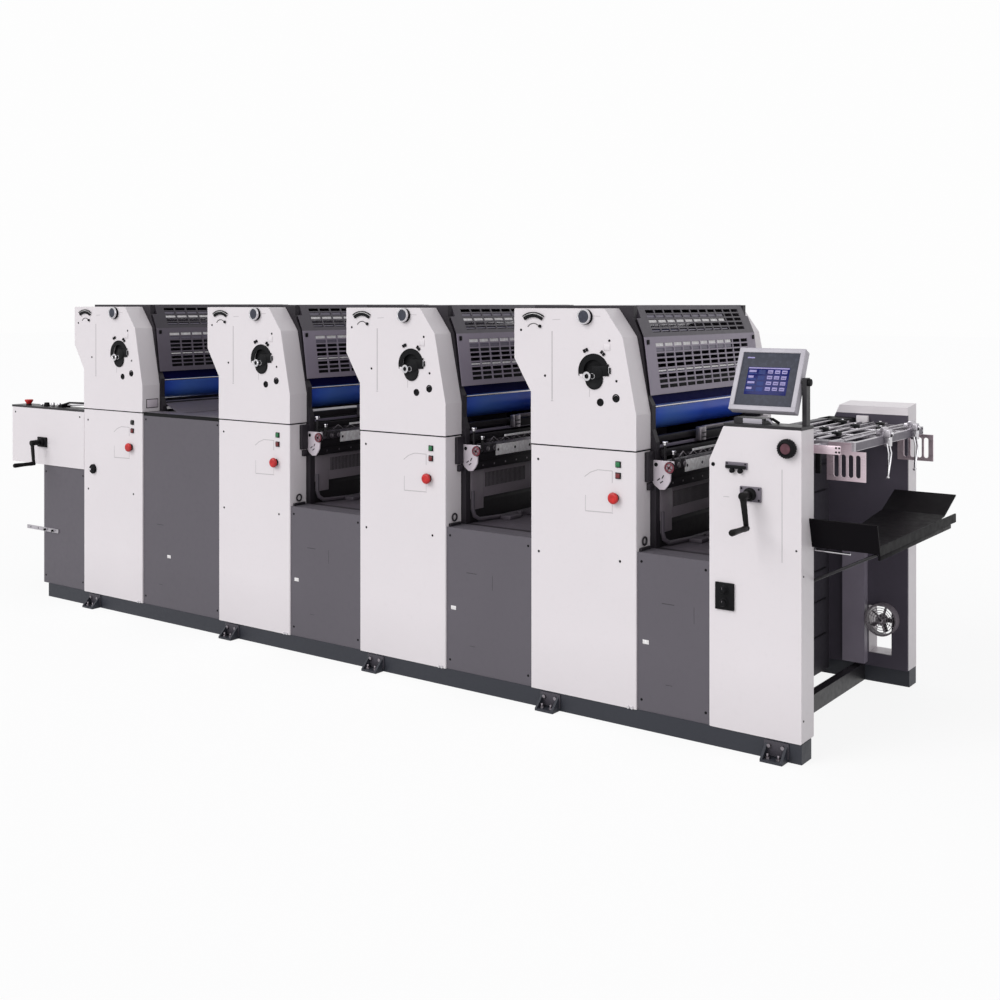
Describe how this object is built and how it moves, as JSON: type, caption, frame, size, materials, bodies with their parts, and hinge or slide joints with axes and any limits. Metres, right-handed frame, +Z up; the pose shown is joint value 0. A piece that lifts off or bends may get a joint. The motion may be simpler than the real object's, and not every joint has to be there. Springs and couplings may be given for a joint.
{
  "type": "offset printing press",
  "caption": "Multi-unit sheet-fed offset press with slotted tilting guards, turning blanket cylinders, hand cranks, open bays, a feeder and a delivery",
  "frame": {"origin": "on the floor, under the middle of the base", "axes": "+X from the feeder to the delivery, +Y from the operating side to the drive side, +Z up"},
  "size_m": [5.306, 1.5544, 1.713],
  "materials": {
    "housing_white": "satin white paint",
    "cover_grey": "satin grey paint",
    "base_blue_grey": "dark blue-grey paint",
    "frame_dark": "dark painted casting",
    "deck_grey": "dark grey paint",
    "guard_mauve": "satin grey-mauve paint",
    "post_mauve": "dark mauve-grey paint",
    "cap_black": "satin black paint",
    "guide_black": "matt black paint",
    "control_black": "matt black plastic",
    "roller_rubber": "smooth dark rubber",
    "cylinder_blue": "glossy blue rubber blanket",
    "rail_aluminium": "bare aluminium",
    "chrome_steel": "bright chrome",
    "screen_silver": "silver plastic",
    "tray_black": "glossy black paint"
  },
  "bodies": {
    "machine": {"base_beam_near": "base_blue_grey", "base_beam_far": "base_blue_grey", "base_floor": "base_blue_grey", "delivery_cross_bar": "base_blue_grey", "side_frame_near": "frame_dark", "side_frame_far": "frame_dark", "unit_rear_covers": "cover_grey", "ink_rollers": "roller_rubber", "operator_controls": "control_black", "lower_covers_near": "cover_grey", "lower_covers_far": "cover_grey", "bay_decks": "deck_grey", "transfer_guides": "guide_black", "unit_rails": "rail_aluminium", "rail_brackets_near": "rail_aluminium", "rail_brackets_far": "rail_aluminium", "feeder_housing_near": "housing_white", "feeder_housing_far": "housing_white", "feeder_cap_near": "cap_black", "feeder_cap_far": "cap_black", "feed_board": "deck_grey", "feeder_head_bars": "chrome_steel", "pile_board": "deck_grey", "feeder_guide_strip": "rail_aluminium", "delivery_column_near": "housing_white", "delivery_column_far": "housing_white", "delivery_cap": "cap_black", "delivery_side_plate": "cap_black", "delivery_panel": "cap_black", "pile_guide_posts": "post_mauve", "fan_guard": "control_black", "delivery_rails": "cap_black", "slotted_plate_near": "rail_aluminium", "slotted_plate_far": "rail_aluminium", "sheet_fingers": "chrome_steel", "delivery_tray": "tray_black", "tray_struts": "cap_black", "screen_stand": "cap_black", "unit_1_housing_near": "housing_white", "unit_1_housing_far": "housing_white", "unit_2_housing_near": "housing_white", "unit_2_housing_far": "housing_white", "unit_3_housing_near": "housing_white", "unit_3_housing_far": "housing_white", "unit_4_housing_near": "housing_white", "unit_4_housing_far": "housing_white"},
    "feeder_crank": {"feeder_crank": "chrome_steel"},
    "delivery_crank": {"delivery_crank": "chrome_steel"},
    "touch_screen": {"touch_screen": "screen_silver"},
    "fan_rotor": {"fan_rotor": "control_black"},
    "column_knob": {"column_knob": "control_black"},
    "unit_1_blanket_cylinder": {"unit_1_blanket_cylinder": "cylinder_blue"},
    "unit_1_guard": {"unit_1_guard": "guard_mauve"},
    "unit_2_blanket_cylinder": {"unit_2_blanket_cylinder": "cylinder_blue"},
    "unit_2_guard": {"unit_2_guard": "guard_mauve"},
    "unit_3_blanket_cylinder": {"unit_3_blanket_cylinder": "cylinder_blue"},
    "unit_3_guard": {"unit_3_guard": "guard_mauve"},
    "unit_4_blanket_cylinder": {"unit_4_blanket_cylinder": "cylinder_blue"},
    "unit_4_guard": {"unit_4_guard": "guard_mauve"}
  },
  "joints": [
    {"name": "unit_1_cylinder_turn", "type": "hinge", "parent": "machine", "child": "unit_1_blanket_cylinder", "pos_m": [-1.6025, 0, 1.275], "axis": [0, 1, 0], "continuous": true},
    {"name": "unit_2_cylinder_turn", "type": "hinge", "parent": "machine", "child": "unit_2_blanket_cylinder", "pos_m": [-0.4655, 0, 1.275], "axis": [0, 1, 0], "continuous": true},
    {"name": "unit_3_cylinder_turn", "type": "hinge", "parent": "machine", "child": "unit_3_blanket_cylinder", "pos_m": [0.5215, 0, 1.275], "axis": [0, 1, 0], "continuous": true},
    {"name": "unit_4_cylinder_turn", "type": "hinge", "parent": "machine", "child": "unit_4_blanket_cylinder", "pos_m": [1.5085, 0, 1.275], "axis": [0, 1, 0], "continuous": true},
    {"name": "unit_1_guard_lift", "type": "hinge", "parent": "machine", "child": "unit_1_guard", "pos_m": [-1.5735, 0, 1.698], "axis": [0, -1, 0], "range_deg": [0, 75]},
    {"name": "unit_2_guard_lift", "type": "hinge", "parent": "machine", "child": "unit_2_guard", "pos_m": [-0.4365, 0, 1.698], "axis": [0, -1, 0], "range_deg": [0, 75]},
    {"name": "unit_3_guard_lift", "type": "hinge", "parent": "machine", "child": "unit_3_guard", "pos_m": [0.5505, 0, 1.698], "axis": [0, -1, 0], "range_deg": [0, 75]},
    {"name": "unit_4_guard_lift", "type": "hinge", "parent": "machine", "child": "unit_4_guard", "pos_m": [1.5375, 0, 1.698], "axis": [0, -1, 0], "range_deg": [0, 75]},
    {"name": "feeder_crank_turn", "type": "hinge", "parent": "machine", "child": "feeder_crank", "pos_m": [-2.3905, -0.65, 0.902], "axis": [0, 1, 0], "continuous": true},
    {"name": "delivery_crank_turn", "type": "hinge", "parent": "machine", "child": "delivery_crank", "pos_m": [2.1365, -0.65, 0.994], "axis": [0, 1, 0], "continuous": true},
    {"name": "screen_tilt", "type": "hinge", "parent": "machine", "child": "touch_screen", "pos_m": [2.174, -0.572, 1.423], "axis": [1, 0, 0], "range_deg": [-20, 30]},
    {"name": "fan_turn", "type": "hinge", "parent": "machine", "child": "fan_rotor", "pos_m": [2.2315, 0.51, 0.298], "axis": [0, 1, 0], "continuous": true},
    {"name": "column_knob_turn", "type": "hinge", "parent": "machine", "child": "column_knob", "pos_m": [2.2865, -0.65, 1.178], "axis": [0, 1, 0], "continuous": true}
  ]
}
